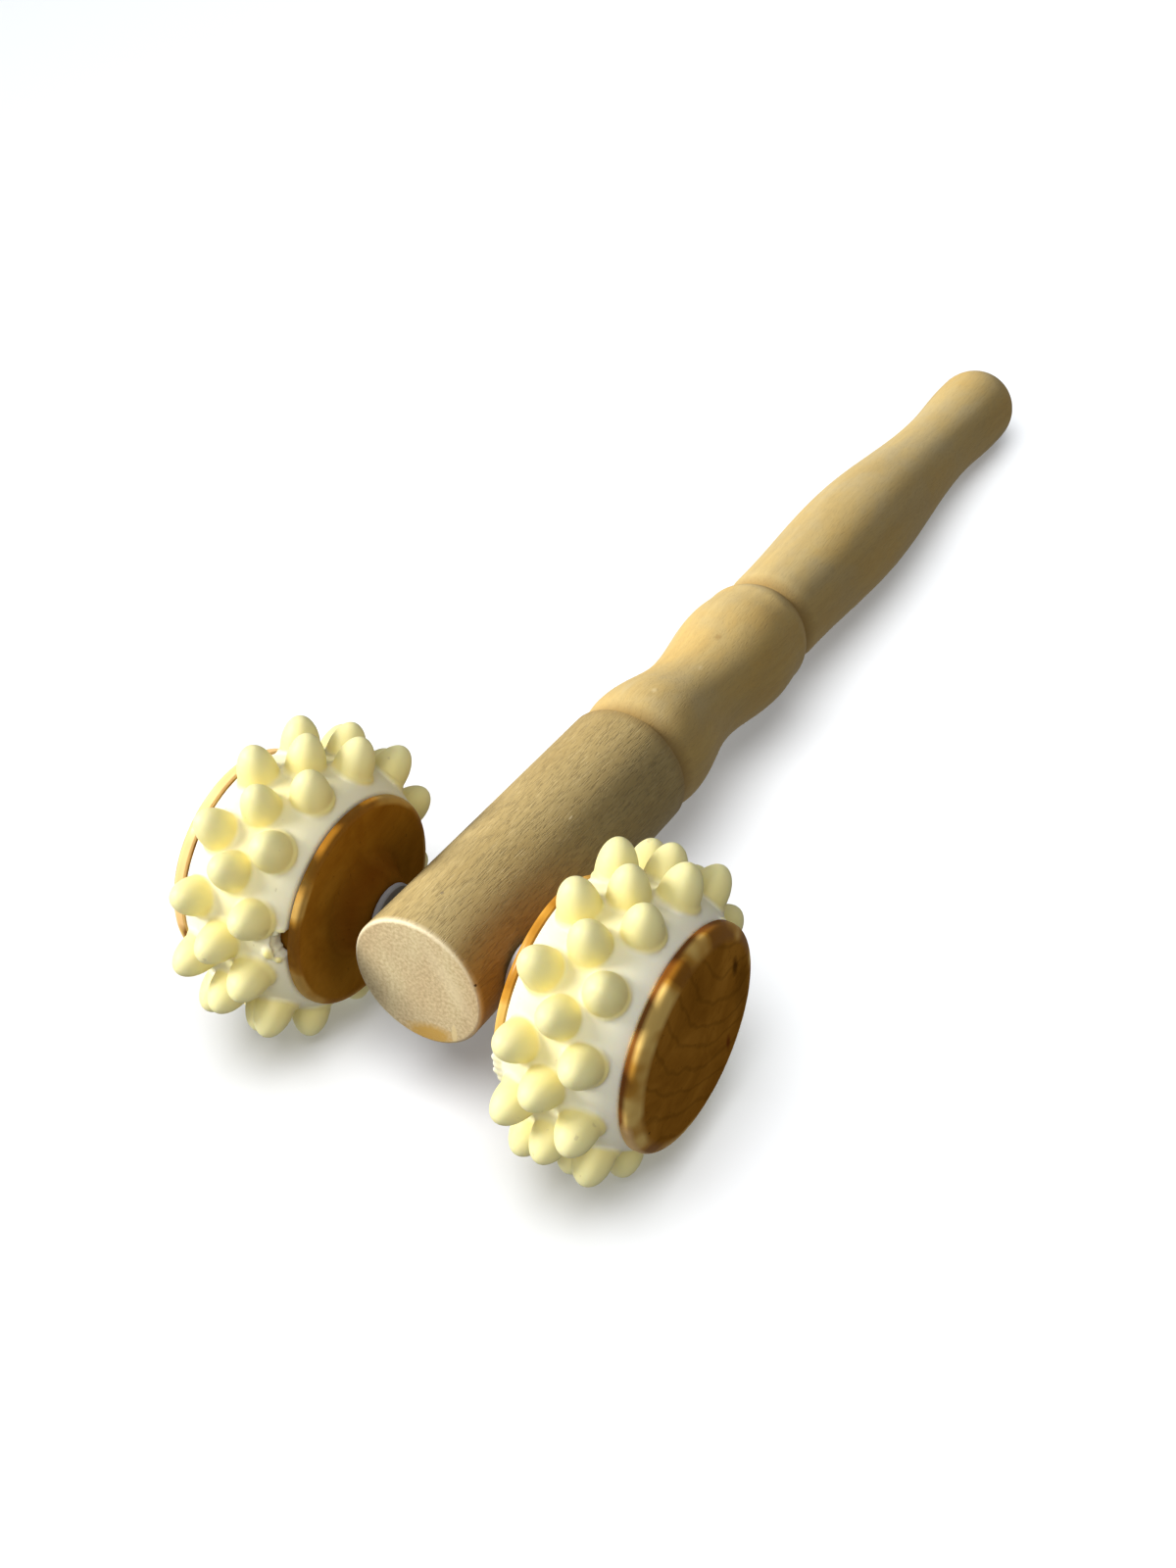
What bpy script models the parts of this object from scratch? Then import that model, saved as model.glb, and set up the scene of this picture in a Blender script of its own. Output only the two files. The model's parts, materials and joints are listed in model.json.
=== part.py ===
"""Foot massage roller: a turned wooden handle with a studded rubber wheel on each end of a cross axle.

Units are metres and +Z is up. The roller lies on a table, on its two wheels and the knob of its handle.
The axle runs along X and the handle runs towards +Y. The origin is under the middle of the whole roller.
Every piece is first built along its own Z axis, then turned into place under one tilted empty.
"""
from math import acos, atan2, cos, hypot, pi, radians, sin

import bmesh
import bpy
from mathutils import Matrix, Vector

# Driving dimensions
HANDLE_LENGTH = 0.300
HEAD_RADIUS = 0.016
HEAD_LENGTH = 0.085
HEAD_RIM_ROUNDING = 0.0009
AXLE_STATION = 0.015          # from the flat front end of the handle to the axle
AXLE_RADIUS = 0.004
AXLE_HALF_LENGTH = 0.0515
AXLE_CHAMFER = 0.0005
DRILL_LENGTH = 0.048          # of the cutter that bores the head for the axle
GAP = 0.0003                  # left between neighbouring pieces

# The grip's outline: (distance from the front end, radius), each eased into the next
NECK_OUTLINE = ((0.0850, 0.0147), (0.0940, 0.0158), (0.1155, 0.01265), (0.1390, 0.0151), (0.1485, 0.0144))
GROOVE_OUTLINE = ((0.1485, 0.0144), (0.1542, 0.0120), (0.1600, 0.0130))
GRIP_OUTLINE = ((0.1600, 0.0130), (0.2040, 0.01445), (0.2630, 0.0106), (0.2850, 0.01155))
KNOB_END_DEPTH = 0.0120       # the rounded end after the last full radius of the knob
KNOB_SQUARENESS = 2.3         # 2 makes the end an ellipse, more makes it fuller
KNOB_CONTACT = 0.2892         # from the front end to where the knob touches the table

# Stations along the axle, measured from the middle of the handle
WHEEL_INNER_FACE = 0.0245
WHEEL_OUTER_FACE = 0.0585
FLANGE_RADIUS = 0.0240
FLANGE_WIDTH = 0.0024
CAP_RADIUS = 0.0248
CAP_THICKNESS = 0.0041
INNER_EDGE_ROUNDING = 0.0013
OUTER_EDGE_ROUNDING = 0.0025
SLEEVE_INNER_EDGE = 0.0272
SLEEVE_OUTER_EDGE = 0.0540
SLEEVE_EDGE_RADIUS = 0.0244
SLEEVE_CROWN = 0.0038         # how much the sleeve's middle stands above its edges
CROWN_POWER = 3               # 2 would crown the sleeve to a parabola, more fills out its shoulders
SEAT_RADIUS = 0.0221          # the straight part of the wood that the sleeve is stretched over
POCKET_RADIUS = 0.0080        # the pocket in the wheel that hides the end of the axle
POCKET_FLOOR = 0.0460
CAP_SPIGOT_DEPTH = 0.0018
HUB_FACE = 0.0181             # the end of the boss that faces the handle
HUB_RADIUS = 0.0066
HUB_FOOT_RADIUS = 0.0125      # where the boss runs out into the wheel's inner face
SPACER_RADIUS = 0.0070
WASHER_RADIUS = 0.0072
WASHER_THICKNESS = 0.0010
CLIP_RADIUS = 0.0062
CLIP_HEIGHT = 0.0014
CLIP_SHEET = 0.0005

# Studs on the rubber sleeve
STUDS_IN_A_ROW = 12
STUD_MIDDLE = 0.0404          # station of the middle row
STUD_ROW_SPACING = 0.0070
STUD_LEAN = radians(8)        # of the outer rows, away from the middle row
STUD_BASE_RADIUS = 0.0048
STUD_HEIGHT = 0.0080
STUD_SQUARENESS = 2.3         # 2 makes a stud half an ellipsoid, more makes it fuller
STUD_ROOT = 0.0010            # how deep a stud starts inside the sleeve
LOWEST_STUD = radians(12)     # between straight down and the middle-row stud that a wheel stands on
WHEEL_TURN = {"left": radians(6.6), "right": radians(8.2)}   # where each wheel has stopped

HANDLE_STEPS = 28
WHEEL_STEPS = 24
SMALL_STEPS = 16
EASE_STEPS = 4
CROWN_STEPS = 6
CORNER_STEPS = 3
DOME_STEPS = 6
STUD_SIDES = 6
MERGE_DISTANCE = 0.00001
SIDES = (("left", -1), ("right", 1))

PARTS_NAME = "foot_massage_roller"
CUTTERS_NAME = "cutters"


def clear_scene():
    for item in list(bpy.data.objects):
        bpy.data.objects.remove(item, do_unlink=True)


def new_collection(name):
    collection = bpy.data.collections.new(name)
    bpy.context.scene.collection.children.link(collection)
    return collection


def make_material(name, colour, roughness, metallic=0.0):
    material = bpy.data.materials.new(name)
    material.use_nodes = True
    shader = material.node_tree.nodes["Principled BSDF"]
    shader.inputs["Base Color"].default_value = (*colour, 1.0)
    shader.inputs["Roughness"].default_value = roughness
    shader.inputs["Metallic"].default_value = metallic
    material.diffuse_color = (*colour, 1.0)
    return material


def turned(name, outline, steps, material=None, closed=False):
    """A turned piece: an outline of (radius, height), listed top to bottom, swept about Z."""
    mesh = bpy.data.meshes.new(name)
    points = [(radius, 0.0, height) for radius, height in outline]
    edges = [(i, i + 1) for i in range(len(points) - 1)]
    if closed:
        edges.append((len(points) - 1, 0))
    mesh.from_pydata(points, edges, [])
    piece = bpy.data.objects.new(name, mesh)
    if material:
        mesh.materials.append(material)
    screw = piece.modifiers.new("turn", "SCREW")
    screw.axis = "Z"
    screw.steps = screw.render_steps = steps
    screw.use_merge_vertices = True
    screw.merge_threshold = MERGE_DISTANCE
    screw.use_smooth_shade = True
    return piece


def eased(start, end, steps=EASE_STEPS):
    """Points of an outline that leaves start level and arrives level at end, without start itself."""
    points = []
    for i in range(1, steps + 1):
        share = i / steps
        rise = (1 - cos(share * pi)) / 2
        points.append((start[0] + (end[0] - start[0]) * share, start[1] + (end[1] - start[1]) * rise))
    return points


def quarter_turn(centre, radius, start_angle):
    """Points of a quarter of a circle about centre, going clockwise from start_angle."""
    points = []
    for i in range(CORNER_STEPS + 1):
        angle = start_angle - i / CORNER_STEPS * pi / 2
        points.append((centre[0] + radius * cos(angle), centre[1] + radius * sin(angle)))
    return points


def squared_quarter(width, height, squareness, steps):
    """Points of a fuller-than-round quarter, from (width, 0) to (0, height)."""
    points = []
    for i in range(steps + 1):
        angle = i / steps * pi / 2
        points.append((width * cos(angle) ** (2 / squareness), height * sin(angle) ** (2 / squareness)))
    return points


def handle_outline():
    """The turned outline from the front end to the knob, then reversed to run top to bottom."""
    rim = HEAD_RIM_ROUNDING
    stations = [(0.0, 0.0)] + quarter_turn((rim, HEAD_RADIUS - rim), rim, pi)
    stations += [(HEAD_LENGTH, HEAD_RADIUS), NECK_OUTLINE[0]]
    for outline in (NECK_OUTLINE, GRIP_OUTLINE):
        for start, end in zip(outline, outline[1:]):
            stations += eased(start, end)
        if outline is NECK_OUTLINE:
            stations += GROOVE_OUTLINE[1:]
    dome_start = HANDLE_LENGTH - KNOB_END_DEPTH
    dome = squared_quarter(GRIP_OUTLINE[-1][1], KNOB_END_DEPTH, KNOB_SQUARENESS, DOME_STEPS)
    stations += [(dome_start + along, radius) for radius, along in dome[:-1]]
    stations.append((HANDLE_LENGTH, 0.0))
    return [(radius, station) for station, radius in reversed(stations)]


def crown(station):
    """Outer radius of the rubber sleeve, without its studs, at a station along the axle."""
    middle = (SLEEVE_INNER_EDGE + SLEEVE_OUTER_EDGE) / 2
    half = (SLEEVE_OUTER_EDGE - SLEEVE_INNER_EDGE) / 2
    return SLEEVE_EDGE_RADIUS + SLEEVE_CROWN * (1 - abs((station - middle) / half) ** CROWN_POWER)


def sleeve_outline():
    width = SLEEVE_OUTER_EDGE - SLEEVE_INNER_EDGE
    stations = [SLEEVE_OUTER_EDGE - width * i / CROWN_STEPS for i in range(CROWN_STEPS + 1)]
    bore = SEAT_RADIUS + GAP
    return ([(crown(station), station) for station in stations]
            + [(bore, SLEEVE_INNER_EDGE), (bore, SLEEVE_OUTER_EDGE)])


def core_outline():
    """The wheel's wood: a straight seat for the rubber, a flange and a boss that faces the handle."""
    cap_side = WHEEL_OUTER_FACE - CAP_THICKNESS - GAP
    flange_side = WHEEL_INNER_FACE + FLANGE_WIDTH
    bore = AXLE_RADIUS + GAP
    corner = (FLANGE_RADIUS - INNER_EDGE_ROUNDING, WHEEL_INNER_FACE + INNER_EDGE_ROUNDING)
    flank = eased((HUB_FOOT_RADIUS, WHEEL_INNER_FACE), (HUB_RADIUS, HUB_FACE))
    return ([(POCKET_RADIUS, cap_side), (SEAT_RADIUS, cap_side), (SEAT_RADIUS, flange_side),
             (FLANGE_RADIUS, flange_side)]
            + quarter_turn(corner, INNER_EDGE_ROUNDING, 0.0)
            + [(HUB_FOOT_RADIUS, WHEEL_INNER_FACE)] + flank
            + [(bore, HUB_FACE), (bore, POCKET_FLOOR), (POCKET_RADIUS, POCKET_FLOOR)])


def cap_outline():
    inner_side = WHEEL_OUTER_FACE - CAP_THICKNESS
    corner = (CAP_RADIUS - OUTER_EDGE_ROUNDING, WHEEL_OUTER_FACE - OUTER_EDGE_ROUNDING)
    spigot = POCKET_RADIUS - GAP
    return ([(0.0, WHEEL_OUTER_FACE)] + quarter_turn(corner, OUTER_EDGE_ROUNDING, pi / 2)
            + [(CAP_RADIUS, inner_side), (spigot, inner_side),
               (spigot, inner_side - CAP_SPIGOT_DEPTH), (0.0, inner_side - CAP_SPIGOT_DEPTH)])


def ring_outline(outer, inner, bottom, top):
    return [(outer, top), (outer, bottom), (inner, bottom), (inner, top)]


def clip_outline():
    """A dished push-on ring: its rim lies on the washer and its inner teeth rise to grip the axle."""
    bottom = POCKET_FLOOR + WASHER_THICKNESS + 2 * GAP
    top = bottom + CLIP_HEIGHT
    bite = AXLE_RADIUS + GAP
    rim_inside = CLIP_RADIUS - CLIP_SHEET
    return [(bite, top), (rim_inside, bottom + CLIP_SHEET), (CLIP_RADIUS, bottom + CLIP_SHEET),
            (CLIP_RADIUS, bottom), (rim_inside - CLIP_SHEET, bottom), (bite, top - CLIP_SHEET)]


def add_boolean(piece, tool, operation, cutters):
    cutters.objects.link(tool)
    tool.hide_render = True
    tool.display_type = "WIRE"
    modifier = piece.modifiers.new(operation.lower(), "BOOLEAN")
    modifier.operation = operation
    modifier.solver = "EXACT"
    modifier.object = tool


def stud_mesh():
    """One stud along Z: rings of a squared quarter, closed by a point on top and a flat root."""
    outline = squared_quarter(STUD_BASE_RADIUS, STUD_HEIGHT, STUD_SQUARENESS, CORNER_STEPS)
    rings = [(STUD_BASE_RADIUS, -STUD_ROOT)] + outline[:-1]
    points = []
    for radius, height in rings:
        for k in range(STUD_SIDES):
            angle = 2 * pi * k / STUD_SIDES
            points.append((radius * cos(angle), radius * sin(angle), height))
    tip = len(points)
    points.append((0.0, 0.0, STUD_HEIGHT))
    faces = [tuple(reversed(range(STUD_SIDES)))]
    for k in range(STUD_SIDES):
        after = (k + 1) % STUD_SIDES
        for ring in range(0, tip - STUD_SIDES, STUD_SIDES):
            faces.append((ring + k, ring + after, ring + STUD_SIDES + after, ring + STUD_SIDES + k))
        faces.append((tip - STUD_SIDES + k, tip - STUD_SIDES + after, tip))
    mesh = bpy.data.meshes.new("stud")
    mesh.from_pydata(points, [], faces)
    return mesh


def studs_tool(name):
    """All of a wheel's studs in three rows round the sleeve, the middle row half a step on."""
    step = 2 * pi / STUDS_IN_A_ROW
    together = bmesh.new()
    one = stud_mesh()
    for row in (-1, 0, 1):
        station = STUD_MIDDLE + row * STUD_ROW_SPACING
        first = step / 2 if row == 0 else 0.0
        for k in range(STUDS_IN_A_ROW):
            place = (Matrix.Rotation(first + step * k, 4, "Z")
                     @ Matrix.Translation((crown(station), 0, station))
                     @ Matrix.Rotation(pi / 2 - row * STUD_LEAN, 4, "Y"))
            count = len(together.verts)
            together.from_mesh(one)
            together.verts.ensure_lookup_table()
            bmesh.ops.transform(together, matrix=place, verts=together.verts[count:])
    mesh = bpy.data.meshes.new(name)
    together.to_mesh(mesh)
    together.free()
    bpy.data.meshes.remove(one)
    return bpy.data.objects.new(name, mesh)


def make_handle(parts, cutters, wood):
    handle = turned("handle", handle_outline(), HANDLE_STEPS, wood)
    parts.objects.link(handle)
    handle.location = (0.0, -AXLE_STATION, 0.0)
    handle.rotation_euler = (-pi / 2, 0.0, 0.0)
    bore_shape = bmesh.new()
    turn_to_x = Matrix.Translation((0, 0, AXLE_STATION)) @ Matrix.Rotation(pi / 2, 4, "Y")
    bmesh.ops.create_cone(bore_shape, cap_ends=True, segments=SMALL_STEPS, radius1=AXLE_RADIUS + GAP,
                          radius2=AXLE_RADIUS + GAP, depth=DRILL_LENGTH, matrix=turn_to_x)
    bore_mesh = bpy.data.meshes.new("axle_bore")
    bore_shape.to_mesh(bore_mesh)
    bore = bpy.data.objects.new("axle_bore", bore_mesh)
    bore.location = handle.location
    bore.rotation_euler = handle.rotation_euler
    add_boolean(handle, bore, "DIFFERENCE", cutters)
    return [handle, bore]


def make_axle(parts, steel):
    tip_radius = AXLE_RADIUS - AXLE_CHAMFER
    shoulder = AXLE_HALF_LENGTH - AXLE_CHAMFER
    outline = [(0.0, AXLE_HALF_LENGTH), (tip_radius, AXLE_HALF_LENGTH), (AXLE_RADIUS, shoulder),
               (AXLE_RADIUS, -shoulder), (tip_radius, -AXLE_HALF_LENGTH), (0.0, -AXLE_HALF_LENGTH)]
    axle = turned("axle", outline, SMALL_STEPS, steel)
    axle.rotation_euler = (0.0, pi / 2, 0.0)
    parts.objects.link(axle)
    return axle


def make_fixed_pieces(side, parts, materials):
    """The two washers and the push-on clip that stay still on the axle beside one wheel."""
    bore = AXLE_RADIUS + GAP
    spacer = ring_outline(SPACER_RADIUS, bore, HEAD_RADIUS + GAP, HUB_FACE - GAP)
    washer_floor = POCKET_FLOOR + GAP
    washer = ring_outline(WASHER_RADIUS, bore, washer_floor, washer_floor + WASHER_THICKNESS)
    pieces = [turned(side + "_spacer_washer", spacer, SMALL_STEPS, materials["nylon"], closed=True),
              turned(side + "_thrust_washer", washer, SMALL_STEPS, materials["steel"], closed=True),
              turned(side + "_retaining_clip", clip_outline(), SMALL_STEPS, materials["steel"], closed=True)]
    for piece in pieces:
        parts.objects.link(piece)
    return pieces


def make_wheel(side, parts, cutters, materials):
    """The wooden core, its glued cap and its studded rubber sleeve, which turn together."""
    core = turned(side + "_wheel_core", core_outline(), WHEEL_STEPS, materials["varnished"], closed=True)
    cap = turned(side + "_wheel_cap", cap_outline(), WHEEL_STEPS, materials["varnished"])
    sleeve = turned(side + "_rubber_sleeve", sleeve_outline(), WHEEL_STEPS, materials["rubber"], closed=True)
    for piece in (core, cap, sleeve):
        parts.objects.link(piece)
    studs = studs_tool(side + "_studs")
    add_boolean(sleeve, studs, "UNION", cutters)
    return [core, cap, sleeve, studs]


def resting_tilt():
    """How far the handle dips towards its knob when the wheels and the knob touch the table."""
    reach = (crown(STUD_MIDDLE) + STUD_HEIGHT) * cos(LOWEST_STUD)
    knob_radius = GRIP_OUTLINE[-1][1]
    distance = KNOB_CONTACT - AXLE_STATION
    return atan2(distance, knob_radius) - acos(reach / hypot(distance, knob_radius))


def stand_on_origin(frame, pieces):
    """Move the whole roller so that the origin is under the middle of its bounding box."""
    bpy.context.view_layer.update()
    depsgraph = bpy.context.evaluated_depsgraph_get()
    corners = []
    for piece in pieces:
        seen = piece.evaluated_get(depsgraph)
        corners += [seen.matrix_world @ vertex.co for vertex in seen.data.vertices]
    low = Vector([min(corner[i] for corner in corners) for i in range(3)])
    high = Vector([max(corner[i] for corner in corners) for i in range(3)])
    frame.location -= Vector(((low.x + high.x) / 2, (low.y + high.y) / 2, low.z))


def main():
    clear_scene()
    parts = new_collection(PARTS_NAME)
    cutters = new_collection(CUTTERS_NAME)
    materials = {
        "birch": make_material("birch", (0.56, 0.42, 0.22), 0.55),
        "varnished": make_material("varnished_wood", (0.30, 0.15, 0.03), 0.30),
        "rubber": make_material("cream_rubber", (0.80, 0.76, 0.50), 0.45),
        "nylon": make_material("nylon", (0.45, 0.48, 0.52), 0.40),
        "steel": make_material("steel", (0.55, 0.55, 0.56), 0.30, 1.0),
    }
    frame = bpy.data.objects.new("handle_line", None)
    parts.objects.link(frame)
    frame.rotation_euler = (-resting_tilt(), 0.0, 0.0)

    on_frame = make_handle(parts, cutters, materials["birch"])
    on_frame.append(make_axle(parts, materials["steel"]))
    pieces = list(on_frame)
    for side, sign in SIDES:
        pivot = bpy.data.objects.new(side + "_wheel_pivot", None)
        parts.objects.link(pivot)
        pivot.parent = frame
        pivot.rotation_euler = (WHEEL_TURN[side], 0.0, 0.0)
        fixed = make_fixed_pieces(side, parts, materials)
        for piece in fixed:
            piece.parent = frame
            piece.rotation_euler = (0.0, sign * pi / 2, 0.0)
        wheel = make_wheel(side, parts, cutters, materials)
        for piece in wheel:
            piece.parent = pivot
            piece.rotation_euler = (0.0, sign * pi / 2, 0.0)
        pieces += fixed + wheel
    for piece in on_frame:
        piece.parent = frame
    stand_on_origin(frame, [piece for piece in pieces if not piece.hide_render])
    bpy.context.view_layer.update()


main()
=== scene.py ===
import json
from math import atan2, cos, hypot, pi, radians, sin
from random import Random

import bmesh
import bpy
from mathutils import Matrix, Vector


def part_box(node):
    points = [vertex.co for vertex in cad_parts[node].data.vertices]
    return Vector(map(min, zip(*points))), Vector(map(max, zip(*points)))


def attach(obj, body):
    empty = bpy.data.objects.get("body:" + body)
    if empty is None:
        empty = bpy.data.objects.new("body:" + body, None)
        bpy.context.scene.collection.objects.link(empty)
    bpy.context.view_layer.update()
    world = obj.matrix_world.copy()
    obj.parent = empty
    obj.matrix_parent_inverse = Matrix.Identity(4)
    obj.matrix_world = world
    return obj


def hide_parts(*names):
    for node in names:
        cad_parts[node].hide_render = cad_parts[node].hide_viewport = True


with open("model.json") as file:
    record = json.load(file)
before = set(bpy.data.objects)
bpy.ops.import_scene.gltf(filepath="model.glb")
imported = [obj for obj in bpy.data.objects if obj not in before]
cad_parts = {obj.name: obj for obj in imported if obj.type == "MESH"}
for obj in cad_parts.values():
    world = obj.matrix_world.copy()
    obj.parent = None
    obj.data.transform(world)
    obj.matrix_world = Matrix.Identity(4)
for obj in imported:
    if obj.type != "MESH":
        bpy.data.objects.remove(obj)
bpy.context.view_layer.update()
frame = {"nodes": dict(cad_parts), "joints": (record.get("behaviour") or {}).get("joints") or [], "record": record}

# ---------------------------------------------------------------- sizes, in metres
AXLE_STATION = 0.015
AXLE_RADIUS = 0.004
GAP = 0.0003
EDGE_LIP = 0.0003

# Along the handle, a turned outline is a row of (station from the front end, radius)
HANDLE_LENGTH = 0.2999
HEAD_RADIUS = 0.016
HEAD_LENGTH = 0.085
HEAD_RIM_ROUNDING = 0.0009
HEAD_BACK_EDGE = 0.0004
NECK_OUTLINE = ((0.0852, 0.0147), (0.0940, 0.0158), (0.1155, 0.01265), (0.1390, 0.0151), (0.1485, 0.0144))
GROOVE_BOTTOM = (0.1542, 0.0120)
GROOVE_WALL_POWER = 1.7
GRIP_OUTLINE = ((0.1600, 0.0130), (0.2040, 0.01445), (0.2630, 0.0106), (0.2850, 0.01155))
KNOB_END_DEPTH = 0.0120
KNOB_SQUARENESS = 2.3

# A wheel's stations are measured outwards along the axle from its middle
WHEEL_INNER_FACE = 0.0245
WHEEL_OUTER_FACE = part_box("right_wheel_cap")[1][0]
WHEEL_TURN = {"left": radians(6.6), "right": radians(8.2)}
FLANGE_RADIUS = 0.0240
FLANGE_WIDTH = 0.0024
INNER_EDGE_ROUNDING = 0.0013
SEAT_RADIUS = 0.0221
POCKET_RADIUS = 0.0080
POCKET_FLOOR = 0.0460
HUB_FACE = 0.0181
HUB_RADIUS = 0.0066
HUB_FOOT_RADIUS = 0.0125
SPACER_RADIUS = 0.0070
CAP_RADIUS = 0.0248
CAP_THICKNESS = 0.0041
CAP_INNER_SIDE = WHEEL_OUTER_FACE - CAP_THICKNESS
CAP_FACE_RING = 0.012
CAP_SPIGOT_DEPTH = 0.0018
OUTER_EDGE_ROUNDING = 0.0025
OUTER_EDGE_WIDTH = 0.0045

SLEEVE_INNER_EDGE = 0.0272
SLEEVE_OUTER_EDGE = 0.0540
SLEEVE_MIDDLE = (SLEEVE_INNER_EDGE + SLEEVE_OUTER_EDGE) / 2
SLEEVE_HALF_WIDTH = (SLEEVE_OUTER_EDGE - SLEEVE_INNER_EDGE) / 2
SLEEVE_EDGE_RADIUS = 0.0244
SLEEVE_CROWN = 0.0038
CROWN_POWER = 3

STUDS_IN_A_ROW = 12
STUD_MIDDLE = 0.0404
STUD_ROW_SPACING = 0.0070
STUD_LEAN = radians(8)
STUD_HEIGHT = 0.0080
STUD_BASE_RADIUS = 0.0046
STUD_FLARE = 0.0006
STUD_FLARE_DEPTH = 0.0002
STUD_ROOT = 0.0010
STUD_SQUARENESS = 2.02
# How far a single stud may stand away from its even place, in metres, radians, radians and size
STUD_SHIFT = 0.0002
STUD_TURN = 0.015
STUD_TILT = 0.09
STUD_SIZES = (0.955, 1.0)

# Moulding flash left on a sleeve's edge: (angle in degrees, radius, station, (thickness, length, width))
FLASH = {
    "left": ((-76.5, 0.0257, 0.0300, (0.0018, 0.0019, 0.0015)),
             (-80.5, 0.0256, 0.0311, (0.0013, 0.0016, 0.0012)),
             (-82.0, 0.0258, 0.0323, (0.0010, 0.0014, 0.0012)),
             (-85.5, 0.0258, 0.0332, (0.0010, 0.0014, 0.0012)),
             (-79.5, 0.0251, 0.0281, (0.0012, 0.0013, 0.0010)),
             (-65.5, 0.0249, 0.0278, (0.0010, 0.0013, 0.0010))),
    "right": ((-111.0, 0.0243, 0.0272, (0.0007, 0.0012, 0.0009)),
              (-106.5, 0.0243, 0.0268, (0.0007, 0.0013, 0.0013)),
              (-102.0, 0.0242, 0.0264, (0.0007, 0.0014, 0.0016)),
              (-97.5, 0.0242, 0.0262, (0.0007, 0.0013, 0.0018)),
              (-93.0, 0.0242, 0.0263, (0.0007, 0.0015, 0.0016)),
              (-88.0, 0.0242, 0.0262, (0.0007, 0.0013, 0.0018)),
              (-83.0, 0.0243, 0.0266, (0.0007, 0.0014, 0.0014)),
              (-78.5, 0.0243, 0.0270, (0.0007, 0.0012, 0.0011)),
              (128.0, 0.0247, 0.0541, (0.0006, 0.0009, 0.0008))),
}
# The ragged notch that is torn back into the left sleeve's inner edge
TEAR_ANGLE = radians(-71.4)
TEAR_REACH = 0.0030
TEAR_DEPTH = 0.0024
TEAR_RIPPLE = 0.0004
TEAR_RIPPLES_PER_METRE = 4200
TEAR_STATIONS = 0.003
TEAR_SKIN = 0.0016

# How finely the shapes are cut up, round and along
AROUND_WHEEL = 144
AROUND_HANDLE = 120
AROUND_BORE = 48
AROUND_SLEEVE = 216
AROUND_STUD = 36
HEAD_STEPS = 24
NECK_STEPS = 12
GROOVE_WALL_STEPS = 8
GROOVE_LIP_STEPS = 6
GRIP_STEPS = 18
DOME_STEPS = 16
SHOULDER_STEPS = 12
SLEEVE_STEPS = 24
SLEEVE_VOXEL = 0.00036
ON_THE_AXIS = 1e-7

SIDES = (("left", -1), ("right", 1))
RNG = Random(11)

# ---------------------------------------------------------------- the lines that everything is built along
JOINTS = {joint["name"]: joint for joint in frame["joints"]}
HEAD_FACE = next(mount for mount in frame["record"]["mounts"] if mount["name"] == "head_end_face")
AXLE_POINT = Vector((0.0, *JOINTS["left_wheel_spin"]["pos_m"][1:]))
ALONG = -Vector(HEAD_FACE["axis"]).normalized()
ACROSS = Vector((1.0, 0.0, 0.0))
LINE = Matrix.Translation(AXLE_POINT) @ Matrix((ACROSS, ALONG, ACROSS.cross(ALONG))).transposed().to_4x4()


def handle_place():
    """Where a piece built along its own Z from the handle's front end stands."""
    return LINE @ Matrix.Translation((0, -AXLE_STATION, 0)) @ Matrix.Rotation(-pi / 2, 4, "X")


def wheel_place(side, sign):
    """Where a piece built along its own Z from the middle of the axle outwards stands."""
    return LINE @ Matrix.Rotation(WHEEL_TURN[side], 4, "X") @ Matrix.Rotation(sign * pi / 2, 4, "Y")


# ---------------------------------------------------------------- meshes
def add_piece(name, mesh):
    piece = bpy.data.objects.new(name, mesh)
    bpy.context.scene.collection.objects.link(piece)
    return piece


def mesh_from(name, shape):
    mesh = bpy.data.meshes.new(name)
    shape.to_mesh(mesh)
    shape.free()
    return mesh


def settle(piece, place):
    """Stand the finished mesh in its place; its points keep where they were as the attribute "own"."""
    mesh = piece.data
    coordinates = [0.0] * (3 * len(mesh.vertices))
    mesh.vertices.foreach_get("co", coordinates)
    own = mesh.attributes.new("own", "FLOAT_VECTOR", "POINT")
    own.data.foreach_set("vector", coordinates)
    mesh.transform(place)
    return piece


def lathe(name, outline, closed=False, steps=AROUND_WHEEL):
    """A mesh turned about Z from (radius, height) points listed top to bottom down the outer side."""
    shape = bmesh.new()
    rings = []
    for radius, height in outline:
        if radius < ON_THE_AXIS:
            rings.append([shape.verts.new((0, 0, height))])
            continue
        ring = []
        for k in range(steps):
            angle = 2 * pi * k / steps
            ring.append(shape.verts.new((radius * cos(angle), radius * sin(angle), height)))
        rings.append(ring)
    pairs = list(zip(rings, rings[1:]))
    if closed:
        pairs.append((rings[-1], rings[0]))
    for upper, lower in pairs:
        for k in range(steps):
            after = (k + 1) % steps
            corners = [upper[k % len(upper)], lower[k % len(lower)],
                       lower[after % len(lower)], upper[after % len(upper)]]
            face = list(dict.fromkeys(corners))
            if len(face) > 2:
                shape.faces.new(face)
    bmesh.ops.recalc_face_normals(shape, faces=shape.faces)
    return mesh_from(name, shape)


def smooth(mesh, sharp_degrees=38):
    mesh.shade_smooth()
    mesh.set_sharp_from_angle(angle=radians(sharp_degrees))
    return mesh


def eased(start, end, samples):
    """Points after start up to end, the second value leaving and arriving without a slope."""
    points = []
    for i in range(1, samples + 1):
        share = i / samples
        lift = (1 - cos(share * pi)) / 2
        points.append((start[0] + (end[0] - start[0]) * share, start[1] + (end[1] - start[1]) * lift))
    return points


def arc(centre, rounding, start_angle, turn=-pi / 2, samples=6):
    points = []
    for i in range(samples + 1):
        angle = start_angle + turn * i / samples
        points.append((centre[0] + rounding * cos(angle), centre[1] + rounding * sin(angle)))
    return points


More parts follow.
